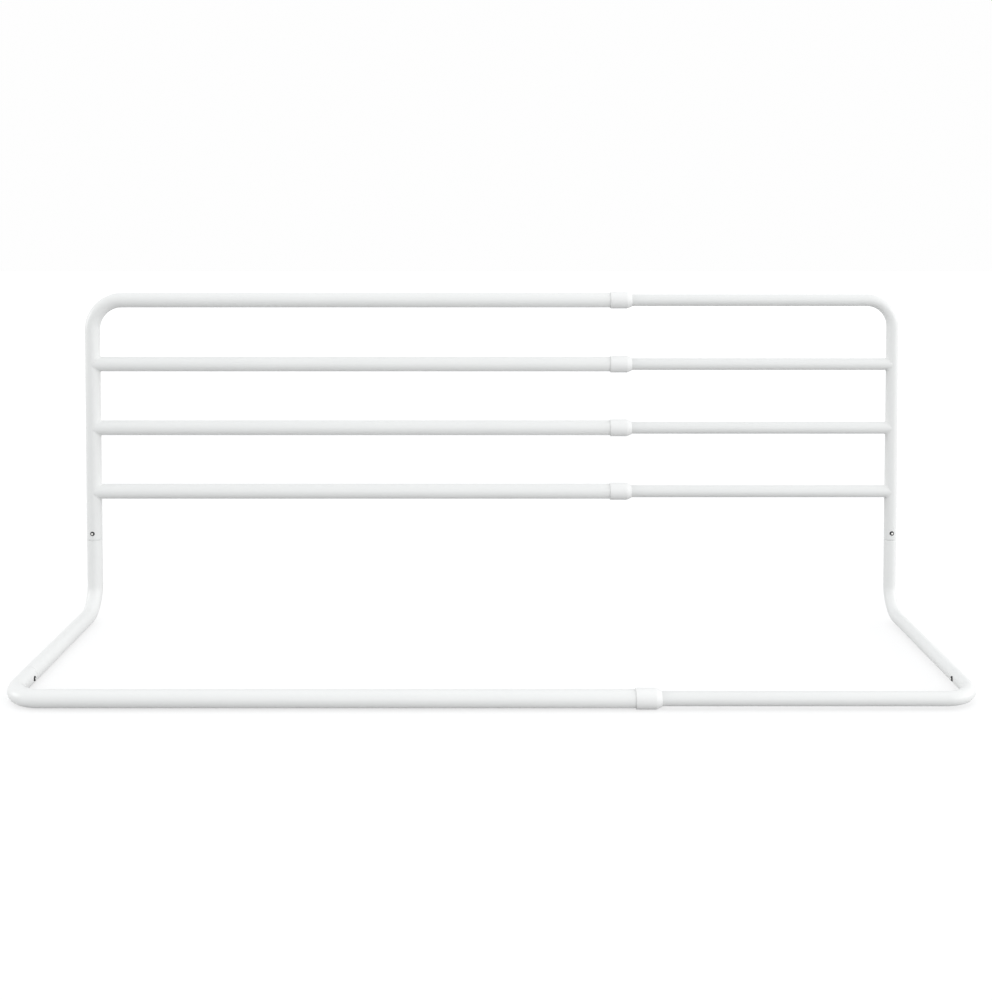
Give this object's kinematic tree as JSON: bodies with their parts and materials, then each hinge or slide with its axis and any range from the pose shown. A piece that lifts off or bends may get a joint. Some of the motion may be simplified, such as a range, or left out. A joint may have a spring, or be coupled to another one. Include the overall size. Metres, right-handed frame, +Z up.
{
  "type": "extendable bed guard rail",
  "caption": "Tubular steel bed guard: rails between two uprights that telescope in width, on plug-in legs and a base frame that goes under the mattress.",
  "frame": {"origin": "on the ground, under the middle of the guard's length and of the base's depth, at full width", "axes": "+X along the guard towards the thin sliding half, +Y from the bed side to the guard, +Z up"},
  "size_m": [1.37, 0.4084, 0.554],
  "materials": {
    "white_powder_coat": "white powder coat, smooth satin",
    "white_plastic": "moulded white plastic, satin",
    "natural_nylon": "natural nylon, matt",
    "black_steel": "blackened steel, the crown rubbed bright",
    "spring_steel": "oiled spring steel"
  },
  "bodies": {
    "thick_half": {"left_guard_tube": "white_powder_coat", "outer_rail_2": "white_powder_coat", "outer_rail_3": "white_powder_coat", "outer_rail_4": "white_powder_coat", "left_leg_tube": "white_powder_coat", "outer_base_tube": "white_powder_coat", "guard_collar_1": "white_plastic", "guard_collar_2": "white_plastic", "guard_collar_3": "white_plastic", "guard_collar_4": "white_plastic", "base_collar": "white_plastic", "left_upright_spring": "spring_steel", "left_arm_spring": "spring_steel"},
    "thin_half": {"right_guard_tube": "white_powder_coat", "inner_rail_2": "white_powder_coat", "inner_rail_3": "white_powder_coat", "inner_rail_4": "white_powder_coat", "right_leg_tube": "white_powder_coat", "inner_base_tube": "white_powder_coat", "guide_bush_1": "natural_nylon", "guide_bush_2": "natural_nylon", "guide_bush_3": "natural_nylon", "guide_bush_4": "natural_nylon", "base_guide_bush": "natural_nylon", "right_upright_spring": "spring_steel", "right_arm_spring": "spring_steel"},
    "left_upright_button": {"left_upright_button": "black_steel"},
    "left_arm_button": {"left_arm_button": "black_steel"},
    "right_upright_button": {"right_upright_button": "black_steel"},
    "right_arm_button": {"right_arm_button": "black_steel"}
  },
  "joints": [
    {"name": "width_slide", "type": "slide", "parent": "thick_half", "child": "thin_half", "axis": [1, 0, 0], "range_m": [-0.38, 0]},
    {"name": "left_upright_press", "type": "slide", "parent": "thick_half", "child": "left_upright_button", "axis": [0, -1, 0], "range_m": [-0.0032, 0], "stiffness_N_per_m": 1500, "springref_m": 0.002, "deforming": ["left_upright_spring"]},
    {"name": "left_arm_press", "type": "slide", "parent": "thick_half", "child": "left_arm_button", "axis": [1, 0, 0], "range_m": [-0.0032, 0], "stiffness_N_per_m": 1500, "springref_m": 0.002, "deforming": ["left_arm_spring"]},
    {"name": "right_upright_press", "type": "slide", "parent": "thin_half", "child": "right_upright_button", "axis": [0, -1, 0], "range_m": [-0.0032, 0], "stiffness_N_per_m": 1500, "springref_m": 0.002, "deforming": ["right_upright_spring"]},
    {"name": "right_arm_press", "type": "slide", "parent": "thin_half", "child": "right_arm_button", "axis": [-1, 0, 0], "range_m": [-0.0032, 0], "stiffness_N_per_m": 1500, "springref_m": 0.002, "deforming": ["right_arm_spring"]}
  ]
}
